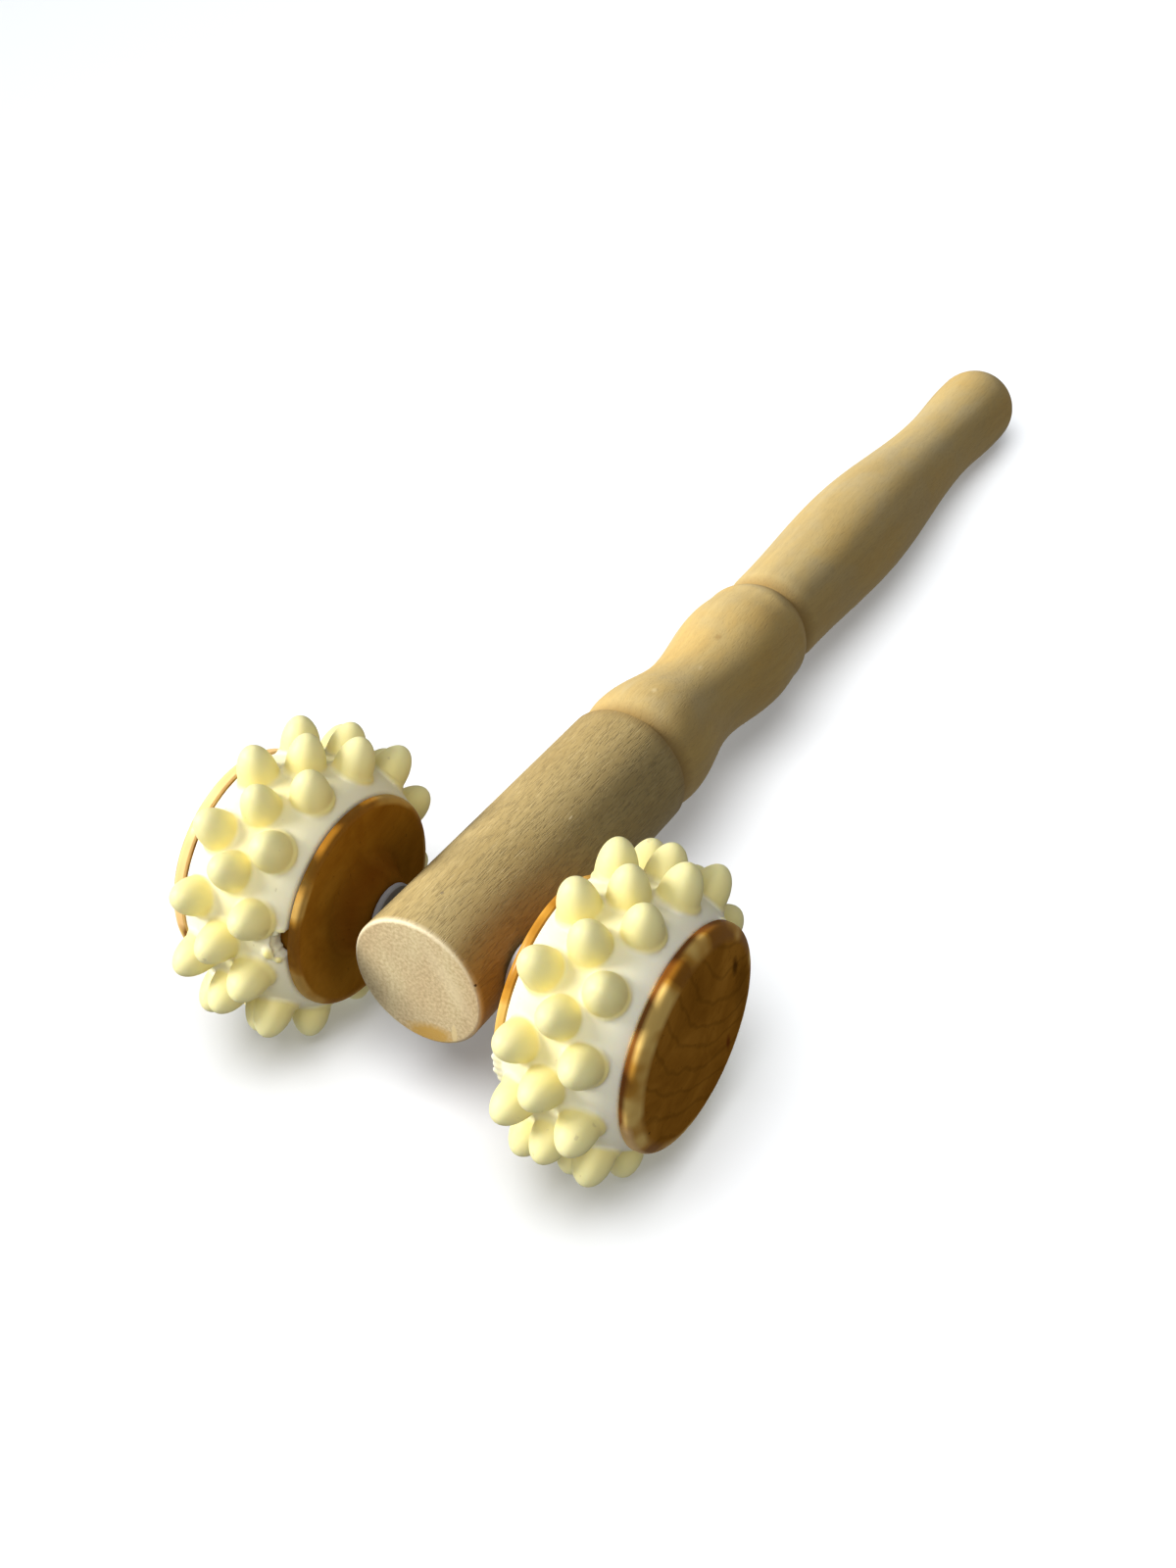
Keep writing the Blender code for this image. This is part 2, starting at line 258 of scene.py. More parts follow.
def crown(station):
    """The radius of the sleeve between its studs."""
    share = abs((station - SLEEVE_MIDDLE) / SLEEVE_HALF_WIDTH)
    return SLEEVE_EDGE_RADIUS + SLEEVE_CROWN * (1 - share ** CROWN_POWER)


def bake_modifiers(piece):
    bpy.context.view_layer.update()
    depsgraph = bpy.context.evaluated_depsgraph_get()
    mesh = bpy.data.meshes.new_from_object(piece.evaluated_get(depsgraph))
    piece.modifiers.clear()
    piece.data = mesh


# ---------------------------------------------------------------- handle
def head_outline():
    rim = HEAD_RIM_ROUNDING
    back = HEAD_BACK_EDGE
    stations = [(0.0, 0.0), (0.0, HEAD_RADIUS * 0.5)]
    stations += [(along, radius) for radius, along in arc((HEAD_RADIUS - rim, rim), rim, -pi / 2, pi / 2)]
    for i in range(1, HEAD_STEPS):
        stations.append((rim + (HEAD_LENGTH - rim) * i / HEAD_STEPS, HEAD_RADIUS))
    return stations + [(HEAD_LENGTH - back, HEAD_RADIUS),
                       (HEAD_LENGTH - back * 0.3, HEAD_RADIUS - back * 0.3),
                       (HEAD_LENGTH, HEAD_RADIUS - back)]


def groove_outline():
    """A steep wall down from the neck, then a round lip up to the grip."""
    wall, groove, lip = NECK_OUTLINE[-1], GROOVE_BOTTOM, GRIP_OUTLINE[0]
    stations = []
    for i in range(1, GROOVE_WALL_STEPS + 1):
        share = i / GROOVE_WALL_STEPS
        stations.append((wall[0] + (groove[0] - wall[0]) * share,
                         wall[1] + (groove[1] - wall[1]) * share ** GROOVE_WALL_POWER))
    for i in range(1, GROOVE_LIP_STEPS + 1):
        share = i / GROOVE_LIP_STEPS
        stations.append((groove[0] + (lip[0] - groove[0]) * share,
                         groove[1] + (lip[1] - groove[1]) * sin(share * pi / 2)))
    return stations


def knob_outline():
    dome_start, knob_radius = HANDLE_LENGTH - KNOB_END_DEPTH, GRIP_OUTLINE[-1][1]
    stations = []
    for i in range(DOME_STEPS + 1):
        angle = i / DOME_STEPS * pi / 2
        along = sin(angle) ** (2 / KNOB_SQUARENESS)
        across = max(cos(angle), 0.0) ** (2 / KNOB_SQUARENESS) if i < DOME_STEPS else 0.0
        stations.append((dome_start + KNOB_END_DEPTH * along, knob_radius * across))
    return stations


def handle_outline():
    stations = head_outline() + [NECK_OUTLINE[0]]
    for start, end in zip(NECK_OUTLINE, NECK_OUTLINE[1:]):
        stations += eased(start, end, NECK_STEPS)
    stations += groove_outline()
    for start, end in zip(GRIP_OUTLINE, GRIP_OUTLINE[1:]):
        stations += eased(start, end, GRIP_STEPS)
    return [(radius, station) for station, radius in reversed(stations + knob_outline())]


def make_handle():
    handle = add_piece("turned_handle", lathe("turned_handle", handle_outline(), steps=AROUND_HANDLE))
    radius, reach = AXLE_RADIUS + GAP, 0.03
    bore = lathe("axle_bore", [(0, reach), (radius, reach), (radius, -reach), (0, -reach)], steps=AROUND_BORE)
    tool = add_piece("axle_bore", bore)
    tool.matrix_world = Matrix.Translation((0, 0, AXLE_STATION)) @ Matrix.Rotation(pi / 2, 4, "Y")
    cut = handle.modifiers.new("bore", "BOOLEAN")
    cut.object = tool
    cut.solver = "EXACT"
    bake_modifiers(handle)
    bpy.data.objects.remove(tool, do_unlink=True)
    smooth(handle.data, 30)
    return settle(handle, handle_place())


# ---------------------------------------------------------------- wheels
def core_outline():
    cap_side = CAP_INNER_SIDE - GAP
    flange_side = WHEEL_INNER_FACE + FLANGE_WIDTH
    corner = (FLANGE_RADIUS - INNER_EDGE_ROUNDING, WHEEL_INNER_FACE + INNER_EDGE_ROUNDING)
    bore = AXLE_RADIUS + GAP
    return ([(POCKET_RADIUS, cap_side), (SEAT_RADIUS, cap_side), (SEAT_RADIUS, flange_side),
             (FLANGE_RADIUS - EDGE_LIP, flange_side), (FLANGE_RADIUS, flange_side - EDGE_LIP)]
            + arc(corner, INNER_EDGE_ROUNDING, 0.0)
            + [(HUB_FOOT_RADIUS, WHEEL_INNER_FACE)]
            + eased((HUB_FOOT_RADIUS, WHEEL_INNER_FACE), (HUB_RADIUS, HUB_FACE), SHOULDER_STEPS)
            + [(bore + EDGE_LIP, HUB_FACE), (bore, HUB_FACE + EDGE_LIP),
               (bore, POCKET_FLOOR), (POCKET_RADIUS, POCKET_FLOOR)])


def cap_outline():
    shoulder = []
    for i in range(SHOULDER_STEPS + 1):
        angle = pi / 2 * (1 - i / SHOULDER_STEPS)
        shoulder.append((CAP_RADIUS - OUTER_EDGE_WIDTH * (1 - cos(angle)),
                         WHEEL_OUTER_FACE - OUTER_EDGE_ROUNDING * (1 - sin(angle))))
    spigot, spigot_end = POCKET_RADIUS - GAP, CAP_INNER_SIDE - CAP_SPIGOT_DEPTH
    return ([(0.0, WHEEL_OUTER_FACE), (CAP_FACE_RING, WHEEL_OUTER_FACE)]
            + shoulder
            + [(CAP_RADIUS, CAP_INNER_SIDE + EDGE_LIP), (CAP_RADIUS - EDGE_LIP, CAP_INNER_SIDE),
               (spigot, CAP_INNER_SIDE), (spigot, spigot_end), (0.0, spigot_end)])


def spacer_outline():
    inner, outer = HEAD_RADIUS + GAP, HUB_FACE - GAP
    bore = AXLE_RADIUS + GAP
    return [(SPACER_RADIUS - EDGE_LIP, outer), (SPACER_RADIUS, outer - EDGE_LIP),
            (SPACER_RADIUS, inner + EDGE_LIP), (SPACER_RADIUS - EDGE_LIP, inner),
            (bore, inner), (bore, outer)]


def make_turned(name, outline, place, closed=True):
    return settle(add_piece(name, smooth(lathe(name, outline, closed))), place)


# ---------------------------------------------------------------- rubber sleeve
def stud_outline():
    """A blunt rounded stud that flares a little where it grows out of the sleeve, from its tip down."""
    points = []
    for i in range(DOME_STEPS + 1):
        angle = pi / 2 * (1 - i / DOME_STEPS)
        across = cos(angle) ** (2 / STUD_SQUARENESS) if i else 0.0
        points.append((STUD_BASE_RADIUS * across, STUD_HEIGHT * sin(angle) ** (2 / STUD_SQUARENESS)))
    flared = STUD_BASE_RADIUS + STUD_FLARE
    return points + [(flared, -STUD_FLARE_DEPTH), (flared, -STUD_ROOT), (0.0, -STUD_ROOT)]


def stud_places():
    """Each stud's place in its row, with a slight lean of its own; the middle row is half a step on."""
    step = 2 * pi / STUDS_IN_A_ROW
    for row in (-1, 0, 1):
        for k in range(STUDS_IN_A_ROW):
            station = STUD_MIDDLE + row * STUD_ROW_SPACING + RNG.uniform(-STUD_SHIFT, STUD_SHIFT)
            around = step * (k + (0.5 if row == 0 else 0.0)) + RNG.uniform(-STUD_TURN, STUD_TURN)
            own_lean = Matrix.Rotation(RNG.uniform(-STUD_TILT, STUD_TILT), 4, "X")
            size = Matrix.Scale(RNG.uniform(*STUD_SIZES), 4)
            yield (Matrix.Rotation(around, 4, "Z") @ Matrix.Translation((crown(station), 0, station))
                   @ Matrix.Rotation(pi / 2 - row * STUD_LEAN, 4, "Y") @ own_lean @ size)


def add_studs(shape):
    stud = lathe("stud", stud_outline(), steps=AROUND_STUD)
    for stand in stud_places():
        first = len(shape.verts)
        shape.from_mesh(stud)
        shape.verts.ensure_lookup_table()
        bmesh.ops.transform(shape, matrix=stand, verts=shape.verts[first:])


def add_flash(shape, side):
    for degrees, radius, station, size in FLASH[side]:
        place = (Matrix.Rotation(radians(degrees), 4, "Z") @ Matrix.Translation((radius, 0, station))
                 @ Matrix.Diagonal((*size, 1.0)))
        bmesh.ops.create_icosphere(shape, subdivisions=2, radius=1.0, matrix=place)


def tear_edge(mesh):
    """Push the inner edge of the sleeve back in a ragged notch."""
    for vertex in mesh.vertices:
        x, y, z = vertex.co
        across = (atan2(y, x) - TEAR_ANGLE) * SLEEVE_EDGE_RADIUS
        ragged = across + TEAR_RIPPLE * sin(across * TEAR_RIPPLES_PER_METRE)
        share = 1 - (ragged / TEAR_REACH) ** 2
        at_edge = z < SLEEVE_INNER_EDGE + TEAR_STATIONS and hypot(x, y) < SLEEVE_EDGE_RADIUS + TEAR_SKIN
        if share > 0 and at_edge:
            fade = 1 - max(z - SLEEVE_INNER_EDGE, 0.0) / TEAR_STATIONS
            vertex.co.z += TEAR_DEPTH * share ** 0.5 * fade


def blend(sleeve):
    """Join ring, studs and flash into one soft skin."""
    remesh = sleeve.modifiers.new("blend", "REMESH")
    remesh.mode = "VOXEL"
    remesh.voxel_size = SLEEVE_VOXEL
    soften = sleeve.modifiers.new("soften", "SMOOTH")
    soften.factor = 0.5
    soften.iterations = 6
    bake_modifiers(sleeve)


def make_sleeve(side, place):
    width = SLEEVE_OUTER_EDGE - SLEEVE_INNER_EDGE
    stations = [SLEEVE_OUTER_EDGE - width * i / SLEEVE_STEPS for i in range(SLEEVE_STEPS + 1)]
    bore = SEAT_RADIUS + GAP
    outline = ([(crown(station), station) for station in stations]
               + [(bore, SLEEVE_INNER_EDGE), (bore, SLEEVE_OUTER_EDGE)])
    shape = bmesh.new()
    shape.from_mesh(lathe("sleeve_ring", outline, closed=True, steps=AROUND_SLEEVE))
    add_studs(shape)
    add_flash(shape, side)
    sleeve = add_piece(side + "_studded_sleeve", mesh_from(side + "_studded_sleeve", shape))
    blend(sleeve)
    if side == "left":
        tear_edge(sleeve.data)
    sleeve.data.shade_smooth()
    return settle(sleeve, place)


# ---------------------------------------------------------------- shader helpers
SPOT_START = 0.12
# How many ramps fit in a metre, for places along the handle, distances from a wheel's axis, and the sawn end
STATION_SCALE = 10.0
RADIUS_SCALE = 40.0
END_SCALE = 1000.0


def set_input(tree, socket, value):
    """Link a node's output to the socket, or set the plain number or colour on it."""
    if isinstance(value, bpy.types.NodeSocket):
        tree.links.new(value, socket)
    elif socket.type == "RGBA":
        socket.default_value = (*value, 1.0)
    else:
        socket.default_value = value


def add_node(tree, kind, settings=None, **values):
    """One shader node; a value is a plain number or colour, or another node's output socket."""
    node = tree.nodes.new(kind)
    for name, value in (settings or {}).items():
        setattr(node, name, value)
    for name, value in values.items():
        set_input(tree, node.inputs[name.replace("_", " ")], value)
    return node


def compute(tree, operation, *values):
    node = tree.nodes.new("ShaderNodeMath")
    node.operation = operation
    for socket, value in zip(node.inputs, values):
        set_input(tree, socket, value)
    return node.outputs[0]


def times(tree, first, *others):
    for other in others:
        first = compute(tree, "MULTIPLY", first, other)
    return first


def ramp(tree, factor, *stops):
    """A colour ramp: each stop is (position, colour), where a plain number means a grey."""
    node = tree.nodes.new("ShaderNodeValToRGB")
    tree.links.new(factor, node.inputs["Fac"])
    while len(node.color_ramp.elements) < len(stops):
        node.color_ramp.elements.new(0.5)
    for element, (position, colour) in zip(node.color_ramp.elements, stops):
        element.position = position
        element.color = (*colour, 1.0) if isinstance(colour, tuple) else (colour, colour, colour, 1.0)
    return node.outputs["Color"]


def rise(tree, value, start, end, low=0.0, high=1.0):
    """low up to start and high from end on, with an even slope between them, for a value from 0 to 1."""
    return ramp(tree, value, (start, low), (end, high))


def rise_along(tree, measure, scale, start, end, low=0.0, high=1.0):
    """As rise, for a measure in metres: a ramp runs from 0 to 1, and scale of them fit in a metre."""
    return rise(tree, times(tree, measure, scale), start * scale, end * scale, low, high)


def near(tree, value, place, reach):
    """1 where the value is at place, falling evenly to 0 at reach on either side of it."""
    away = compute(tree, "ABSOLUTE", compute(tree, "SUBTRACT", value, place))
    return compute(tree, "MAXIMUM", compute(tree, "MULTIPLY_ADD", away, -1 / reach, 1.0), 0.0)


def mix_colour(tree, factor, first, second, blend="MIX"):
    node = tree.nodes.new("ShaderNodeMix")
    node.data_type = "RGBA"
    node.blend_type = blend
    for name, value in (("Factor_Float", factor), ("A_Color", first), ("B_Color", second)):
        set_input(tree, next(item for item in node.inputs if item.identifier == name), value)
    return next(item for item in node.outputs if item.identifier == "Result_Color")


def stain(tree, tone, mask, strength, colour):
    """The tone with a colour over it, as strong as strength where the mask is 1."""
    return mix_colour(tree, times(tree, mask, strength), tone, colour)


def figure(tree, tone, strength, pattern, dark, light):
    """The tone made darker and lighter by a pattern; dark and light are (level of the pattern, grey)."""
    return mix_colour(tree, strength, tone, ramp(tree, pattern, dark, light), "OVERLAY")


def own_coordinates(tree, scale=(1.0, 1.0, 1.0), offset=(0.0, 0.0, 0.0)):
    """Where a point of the piece was before it was set in place, stretched by scale."""
    source = add_node(tree, "ShaderNodeAttribute", {"attribute_name": "own"}).outputs["Vector"]
    mapping = add_node(tree, "ShaderNodeMapping", Vector=source, Scale=scale, Location=offset)
    return mapping.outputs["Vector"]


def own_axes(tree, offset=(0.0, 0.0, 0.0)):
    return add_node(tree, "ShaderNodeSeparateXYZ", Vector=own_coordinates(tree, offset=offset)).outputs


def own_radius(tree, offset=(0.0, 0.0, 0.0)):
    axes = own_axes(tree, offset)
    squares = [compute(tree, "POWER", axes[name], 2.0) for name in "XY"]
    return compute(tree, "SQRT", compute(tree, "ADD", *squares))


def noise(tree, vector, detail=4.0, roughness=0.5, distortion=0.0):
    node = add_node(tree, "ShaderNodeTexNoise", Vector=vector, Scale=1.0, Detail=detail,
                    Roughness=roughness, Distortion=distortion)
    return node.outputs["Fac"]


def own_noise(tree, scale, detail=4.0, roughness=0.5, distortion=0.0, offset=(0.0, 0.0, 0.0)):
    """Noise that is fixed to the piece: scale is how many blotches fit in a metre along X, Y and Z."""
    return noise(tree, own_coordinates(tree, scale, offset), detail, roughness, distortion)


def spot(tree, centre, size, edge=0.5, turn=0.0):
    """1 inside an ellipsoid about centre, turned about Z, fading to 0 at its edge, slightly ragged."""
    source = add_node(tree, "ShaderNodeAttribute", {"attribute_name": "own"}).outputs["Vector"]
    mapping = add_node(tree, "ShaderNodeMapping", {"vector_type": "TEXTURE"}, Vector=source,
                       Location=centre, Scale=size, Rotation=(0.0, 0.0, turn))
    ball = add_node(tree, "ShaderNodeTexGradient", {"gradient_type": "SPHERICAL"},
                    Vector=mapping.outputs["Vector"])
    rag = compute(tree, "MULTIPLY_ADD", own_noise(tree, (900, 900, 900), 2.0), 0.5, -0.25)
    return rise(tree, compute(tree, "ADD", ball.outputs["Fac"], rag), SPOT_START, SPOT_START + edge)


def bump(tree, height, strength, distance, normal=None):
    node = add_node(tree, "ShaderNodeBump", Height=height, Strength=strength, Distance=distance)
    if normal:
        tree.links.new(normal, node.inputs["Normal"])
    return node.outputs["Normal"]


def new_material(name):
    material = bpy.data.materials.new(name)
    material.use_nodes = True
    return material, material.node_tree, material.node_tree.nodes["Principled BSDF"]


def finish_shader(tree, shader, colour, roughness, normal):
    tree.links.new(colour, shader.inputs["Base Color"])
    tree.links.new(roughness, shader.inputs["Roughness"])
    tree.links.new(normal, shader.inputs["Normal"])


# ---------------------------------------------------------------- handle's wood
# Single marks in the wood, in the handle's own coordinates: (centre, size, edge, turn, strength, colour)
PIN_SIZE = (0.0005, 0.0005, 0.0006)
PALE_FLECK = (0.90, 0.78, 0.50)
BIRCH_MARKS = (
    ((0.0026, 0.0134, 0.0), (0.0092, 0.0040, 0.006), 0.5, radians(-14), 0.92, (0.62, 0.37, 0.075)),
    ((0.0088, 0.0105, 0.0), (0.0009, 0.0034, 0.003), 0.2, 0.0, 0.80, (0.80, 0.66, 0.36)),
    ((0.0148, -0.0062, 0.0004), PIN_SIZE, 0.3, 0.0, 0.90, (0.03, 0.02, 0.01)),
    ((-0.0005, -0.0160, 0.0115), PIN_SIZE, 0.3, 0.0, 0.60, (0.16, 0.13, 0.09)),
    ((0.0079, -0.0139, 0.0481), (0.0003, 0.0003, 0.0011), 0.3, 0.0, 0.70, (0.80, 0.68, 0.42)),
    ((0.0009, -0.0152, 0.0963), (0.0010, 0.0010, 0.0018), 0.6, 0.0, 0.40, PALE_FLECK),
    ((0.0038, -0.0130, 0.1142), (0.0012, 0.0012, 0.0022), 0.4, 0.0, 0.55, PALE_FLECK),
    ((0.0018, -0.0139, 0.1260), (0.0012, 0.0012, 0.0018), 0.5, 0.0, 0.50, (0.33, 0.19, 0.06)),
    ((0.0064, -0.0119, 0.1488), (0.0010, 0.0010, 0.0016), 0.5, 0.0, 0.45, (0.30, 0.18, 0.06)))
# Where the two turned crease hollows are, darkened with painted shade: (station, reach on either side)
BIRCH_SHADED_CREASES = ((0.0862, 0.0042), (0.1545, 0.0040))
SAWN_STRIPE_CENTRE = (0.0085, -0.0035, 0.0)
SAWN_STRIPE_SIZE = (0.0030, 0.0150, 0.006)
SAWN_STRIPE_TURN = radians(-34)
SAWN_EDGE_RADIUS = 0.0158


def birch_body(tree, station):
    """Slow changes of tone along the turned wood, warmer and more mottled behind the head, with painted shade on
    its +X side and in the two turned crease hollows.
    """
    behind_head = rise_along(tree, station, STATION_SCALE, HEAD_LENGTH - 0.001, HEAD_LENGTH + 0.003)
    drift = own_noise(tree, (40, 40, 14), 3.0, 0.55, 0.6)
    tone = ramp(tree, drift, (0.30, (0.342, 0.246, 0.096)), (0.52, (0.415, 0.314, 0.138)),
                (0.72, (0.475, 0.375, 0.182)))
    tone = stain(tree, tone, behind_head, 0.45, (0.665, 0.490, 0.205))
    mottle = own_noise(tree, (75, 75, 42), 3.0, 0.6, 0.3, (0.6, 0.3, 0.0))
    ochre = times(tree, rise(tree, mottle, 0.50, 0.66), behind_head)
    tone = stain(tree, tone, ochre, 0.42, (0.600, 0.385, 0.105))
    dusty = times(tree, rise(tree, mottle, 0.34, 0.48, 1.0, 0.0), behind_head)
    tone = stain(tree, tone, dusty, 0.50, (0.480, 0.400, 0.235))
    # Painted shade: behind the head, the +X side, which turns away from the light, is stained a deeper ochre.
    painted_shade_side = times(tree, rise(tree, times(tree, own_axes(tree)["X"], 60.0), 0.35, 0.85), behind_head)
    tone = stain(tree, tone, painted_shade_side, 0.32, (0.640, 0.400, 0.095))
    streaks = own_noise(tree, (420, 420, 9), 2.0, 0.5, 0.4)
    tone = figure(tree, tone, 0.26, streaks, (0.35, 0.42), (0.65, 0.60))
    # Painted shade: darker brown in the two turned crease hollows.
    crease_shade = compute(tree, "MAXIMUM", *(near(tree, station, place, reach) for place, reach in BIRCH_SHADED_CREASES))
    return stain(tree, tone, crease_shade, 0.65, (0.300, 0.170, 0.040))


def sawn_end(tree):
    """Paler end grain, sawn across, with a broad band and one lighter stripe."""
    grain = own_noise(tree, (1300, 1300, 1300), 3.0, 0.6)
    band = own_noise(tree, (150, 45, 60), 3.0, 0.5, 0.5, (0.2, 0.1, 0.0))
    sawn = ramp(tree, grain, (0.32, (0.540, 0.415, 0.225)), (0.66, (0.760, 0.630, 0.390)))
    sawn = figure(tree, sawn, 0.35, band, (0.35, 0.36), (0.65, 0.64))
    stripe = spot(tree, SAWN_STRIPE_CENTRE, SAWN_STRIPE_SIZE, 0.6, SAWN_STRIPE_TURN)
    return stain(tree, sawn, stripe, 0.26, (0.88, 0.76, 0.52))


def birch_material():
    """Pale sanded birch: slow tone changes, long fine pores on the head, paler sawn end grain."""
    material, tree, shader = new_material("pale_birch")
    station = own_axes(tree)["Z"]
    on_head = rise_along(tree, station, STATION_SCALE, HEAD_LENGTH - 0.005, HEAD_LENGTH + 0.001, 1.0, 0.30)
    tone = birch_body(tree, station)
    pores = own_noise(tree, (3900, 3900, 330), 1.5, 0.6)
    pore_mask = times(tree, rise(tree, pores, 0.52, 0.64), on_head)
    tone = stain(tree, tone, pore_mask, 0.42, (0.16, 0.115, 0.055))
    flecks = own_noise(tree, (3300, 3300, 300), 1.5, 0.6, offset=(3.0, 7.0, 1.0))
    tone = stain(tree, tone, times(tree, rise(tree, flecks, 0.58, 0.68), on_head), 0.22, (0.78, 0.64, 0.36))
    on_end = rise_along(tree, station, END_SCALE, 0.00015, 0.00055, 1.0, 0.0)
    tone = mix_colour(tree, on_end, tone, sawn_end(tree))
    at_rim = near(tree, own_radius(tree), SAWN_EDGE_RADIUS, 0.0007)
    sawn_edge = times(tree, near(tree, station, 0.0, 0.0016), at_rim)
    tone = stain(tree, tone, sawn_edge, 0.8, (0.92, 0.83, 0.62))
    for centre, size, edge, turn, strength, colour in BIRCH_MARKS:
        tone = stain(tree, tone, spot(tree, centre, size, edge, turn), strength, colour)
    fibres = own_noise(tree, (2600, 2600, 160), 3.0, 0.6)
    rough = compute(tree, "MULTIPLY_ADD", fibres, 0.16, 0.46)
    relief = bump(tree, fibres, 0.25, 0.00012)
    relief = bump(tree, compute(tree, "SUBTRACT", 1.0, pore_mask), 0.50, 0.00016, relief)
    finish_shader(tree, shader, tone, rough, relief)
    shader.inputs["Specular IOR Level"].default_value = 0.25
    return material


# ---------------------------------------------------------------- wheels' varnished wood
# Knots and stains on a cap's face, in the wheel's own coordinates: (centre, size, strength, colour)
CAP_MARKS = (
    ((-0.0068, 0.0158, 0.0585), (0.0042, 0.0017, 0.004), 0.75, (0.070, 0.024, 0.004)),
    ((0.0130, 0.0114, 0.0585), (0.0034, 0.0013, 0.004), 0.70, (0.150, 0.024, 0.006)),
    ((0.0030, 0.0185, 0.0585), (0.0150, 0.0050, 0.006), 0.45, (0.115, 0.043, 0.004)),
    ((0.0055, -0.0205, 0.0585), (0.0005, 0.0005, 0.001), 0.80, (0.030, 0.012, 0.003)))
# Varnished wood further out along the axle than this is the cap's
CAP_START = 0.050
# Added to the wheel's own coordinates, so that the growth lines run round a point outside the cap
GROWTH_OFFSET = (0.030, -0.026, 0.0)
GROWTH_PHASE_PER_METRE = 1250.0
GROWTH_WOBBLE = 22.0


def growth_lines(tree):
    """1 on thin wavy lines that run round a point outside the cap."""
    wobble = times(tree, own_noise(tree, (38, 38, 30), 3.0), GROWTH_WOBBLE)
    distance = own_radius(tree, GROWTH_OFFSET)
    phase = compute(tree, "ADD", times(tree, distance, GROWTH_PHASE_PER_METRE), wobble)
    wave = compute(tree, "MULTIPLY_ADD", compute(tree, "SINE", phase), 0.5, 0.5)
    return rise(tree, wave, 0.0, 0.16, 1.0, 0.0)


def varnished_face(tree, on_cap):
    """Amber wood with fibres and specks; growth lines and knots are on the cap alone."""
    drift = own_noise(tree, (70, 70, 55), 4.0, 0.55, 0.5, (0.3, 0.1, 0.7))
    cap_tone = ramp(tree, drift, (0.32, (0.285, 0.115, 0.012)), (0.52, (0.390, 0.168, 0.020)),
                    (0.74, (0.540, 0.250, 0.038)))
    core_tone = ramp(tree, drift, (0.32, (0.300, 0.122, 0.010)), (0.52, (0.390, 0.172, 0.017)),
                     (0.74, (0.480, 0.228, 0.028)))
    tone = mix_colour(tree, on_cap, core_tone, cap_tone)
    tone = figure(tree, tone, 0.20, own_noise(tree, (1600, 260, 260), 3.0, 0.6), (0.35, 0.40), (0.65, 0.60))
    tone = stain(tree, tone, times(tree, growth_lines(tree), on_cap), 0.28, (0.120, 0.048, 0.004))
    specks = rise(tree, own_noise(tree, (900, 900, 900), 2.0, 0.6), 0.66, 0.72)
    tone = stain(tree, tone, specks, 0.35, (0.090, 0.032, 0.004))
    for centre, size, strength, colour in CAP_MARKS:
        tone = stain(tree, tone, spot(tree, centre, size, 0.6), strength, colour)
    return tone


def cap_side(tree, tone, axes, radius, rim, on_cap):
    """Round a cap's side, one half gets painted light and the other a painted shadow stripe next to the rubber."""
    shaded_half = rise(tree, compute(tree, "MULTIPLY_ADD", axes["X"], 100.0, 0.5), 0.35, 0.65, 1.0, 0.0)
    lit_half = compute(tree, "SUBTRACT", 1.0, shaded_half)
    # Painted light: a lighter tan band on the cap's rounded side, in its +X half.
    painted_light_band = times(tree, lit_half, rise_along(tree, radius, RADIUS_SCALE, 0.0240, 0.024625), on_cap)
    tone = stain(tree, tone, painted_light_band, 0.75, (0.900, 0.610, 0.300))
    # Painted shadow: a dark red-brown stripe where the cap meets the rubber, in its -X half.
    shadow_seam = times(tree, near(tree, axes["Z"], CAP_INNER_SIDE, 0.0018), rim, shaded_half)
    shadow_line = times(tree, rise_along(tree, radius, RADIUS_SCALE, 0.024375, 0.02475), shadow_seam, 1.7)
    return mix_colour(tree, compute(tree, "MINIMUM", shadow_line, 0.95), tone, (0.230, 0.075, 0.010))


def varnish_material():
    """Amber varnished hardwood, with patches of painted highlight on its turned rims, which also have more gloss,
    and painted shade near the core's middle.
    """
    material, tree, shader = new_material("amber_varnished_wood")
    axes = own_axes(tree)
    radius = own_radius(tree)
    on_cap = compute(tree, "GREATER_THAN", axes["Z"], CAP_START)
    tone = varnished_face(tree, on_cap)
    # Painted highlight: the turned rims are lightened to tan in scattered patches; the same rims also get real
    # coat gloss further down.
    cap_rim = rise_along(tree, radius, RADIUS_SCALE, 0.021125, 0.02275)
    core_rim = rise_along(tree, radius, RADIUS_SCALE, 0.022125, 0.022875)
    rim = mix_colour(tree, on_cap, core_rim, cap_rim)
    highlight_patches = own_noise(tree, (95, 95, 60), 1.5, 0.5, offset=(0.4, 0.9, 0.2))
    rim_highlight_tone = ramp(tree, highlight_patches, (0.42, (0.330, 0.135, 0.012)), (0.51, (0.620, 0.320, 0.050)),
                    (0.60, (0.970, 0.680, 0.220)))
    tone = stain(tree, tone, rim, compute(tree, "MULTIPLY_ADD", on_cap, 0.45, 0.45), rim_highlight_tone)
    tone = cap_side(tree, tone, axes, radius, rim, on_cap)
    # Painted shade: a dark red band round the core's axle hole, on its face towards the handle.
    hub_shade = times(tree, near(tree, radius, 0.0095, 0.0042), compute(tree, "SUBTRACT", 1.0, on_cap))
    tone = stain(tree, tone, hub_shade, 0.55, (0.200, 0.050, 0.004))
    rough = compute(tree, "MULTIPLY_ADD", own_noise(tree, (90, 90, 90)), 0.14, 0.34)
    relief = bump(tree, own_noise(tree, (500, 500, 500), 3.0), 0.12, 0.00012)
    finish_shader(tree, shader, tone, rough, relief)
    shader.inputs["Specular IOR Level"].default_value = 0.0
    tree.links.new(times(tree, rim, 0.24), shader.inputs["Coat Weight"])
    shader.inputs["Coat Roughness"].default_value = 0.22
    return material


